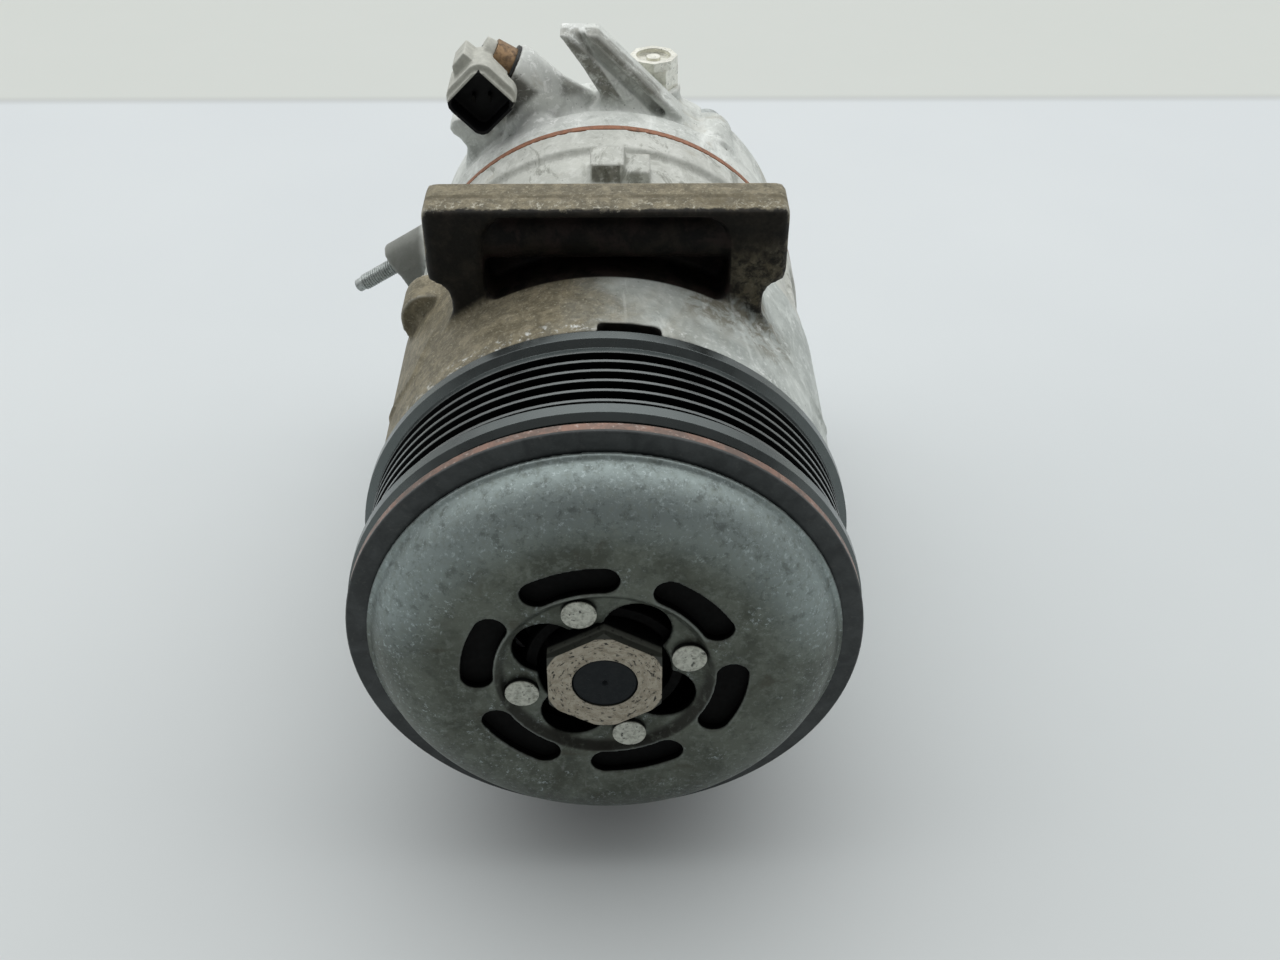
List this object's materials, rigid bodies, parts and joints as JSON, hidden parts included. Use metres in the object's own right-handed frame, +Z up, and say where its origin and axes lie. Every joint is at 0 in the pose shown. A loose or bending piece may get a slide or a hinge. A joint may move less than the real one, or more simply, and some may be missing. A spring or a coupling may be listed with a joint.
{
  "type": "electromagnetic clutch",
  "caption": "Electromagnetic clutch with a domed hub plate and V-ribbed belt pulley, fitted on the nose of a cylindrical air-conditioning compressor with cast mounting lugs.",
  "frame": {"origin": "on the shaft axis, in the middle of the pulley's rib band", "axes": "+Y along the shaft from the clutch to the rear head, +Z up, +X to the right when the clutch is faced"},
  "size_m": [0.133, 0.2001, 0.141],
  "materials": {
    "black_paint": "satin black pulley coating",
    "dark_steel": "dull dark steel",
    "bright_steel": "ground steel",
    "zinc_grey": "mottled grey-green passivated sheet steel",
    "worn_armature": "dark face with a copper-brown rusted edge",
    "nut_steel": "pitted, tarnished",
    "cast_brown": "stained die casting",
    "cast_grey": "oxidised die casting",
    "nickel": "nickel plated",
    "zinc_bright": "zinc plated",
    "rust_edge": "rust-brown steel edge",
    "black_rubber": "matt",
    "black_plastic": "moulded",
    "copper": "enamelled wire",
    "gasket": "coated gasket sheet",
    "terminal": "plated"
  },
  "bodies": {
    "housing": {"front_housing": "cast_brown", "cylinder_block": "cast_grey", "rear_head": "cast_grey", "housing_gasket": "gasket", "block_gasket": "gasket", "valve_plate": "rust_edge", "head_gasket": "gasket", "housing_bolts": "zinc_bright", "bearing_inner_race": "bright_steel", "nose_circlip": "dark_steel", "coil_shell": "dark_steel", "coil_bobbin": "black_plastic", "coil_winding": "copper", "coil_circlip": "dark_steel", "coil_grommet": "black_plastic", "shaft_seal": "black_rubber", "seal_circlip": "dark_steel", "front_bearing": "bright_steel", "thrust_bearing": "bright_steel", "rear_bearing": "bright_steel", "pistons": "cast_grey", "piston_shoes": "bright_steel", "control_valve": "rust_edge", "valve_circlip": "dark_steel", "valve_connector": "black_plastic", "connector_pins": "terminal", "relief_valve": "nickel", "port_stud": "zinc_bright"},
    "pulley": {"belt_pulley": "black_paint", "pulley_circlip": "dark_steel", "bearing_outer_race": "bright_steel", "bearing_seals": "black_rubber"},
    "bearing_rows": {"bearing_balls": "bright_steel", "bearing_cages": "black_plastic"},
    "shaft": {"drive_shaft": "dark_steel", "hub": "dark_steel", "hub_plate": "zinc_grey", "hub_rivets": "zinc_bright", "damper_ring": "black_rubber", "gap_shims": "bright_steel", "shaft_nut": "nut_steel", "lug_plate": "dark_steel", "swash_plate": "dark_steel"},
    "armature": {"armature_plate": "worn_armature", "armature_carrier": "dark_steel", "armature_rivets": "dark_steel"}
  },
  "joints": [
    {"name": "pulley_spin", "type": "hinge", "parent": "housing", "child": "pulley", "pos_m": [0, 0, 0], "axis": [0, 1, 0], "continuous": true},
    {"name": "bearing_rows_spin", "type": "hinge", "parent": "housing", "child": "bearing_rows", "pos_m": [0, 0, 0], "axis": [0, 1, 0], "continuous": true},
    {"name": "shaft_spin", "type": "hinge", "parent": "housing", "child": "shaft", "pos_m": [0, 0, 0], "axis": [0, 1, 0], "continuous": true},
    {"name": "armature_slide", "type": "slide", "parent": "shaft", "child": "armature", "axis": [0, 1, 0], "range_m": [0, 0.0005], "stiffness_N_per_m": 8000, "springref_m": -0.0005, "deforming": ["damper_ring"]}
  ],
  "couplings": [
    {"joint": "bearing_rows_spin", "follows": "pulley_spin", "ratio": 0.5573}
  ]
}
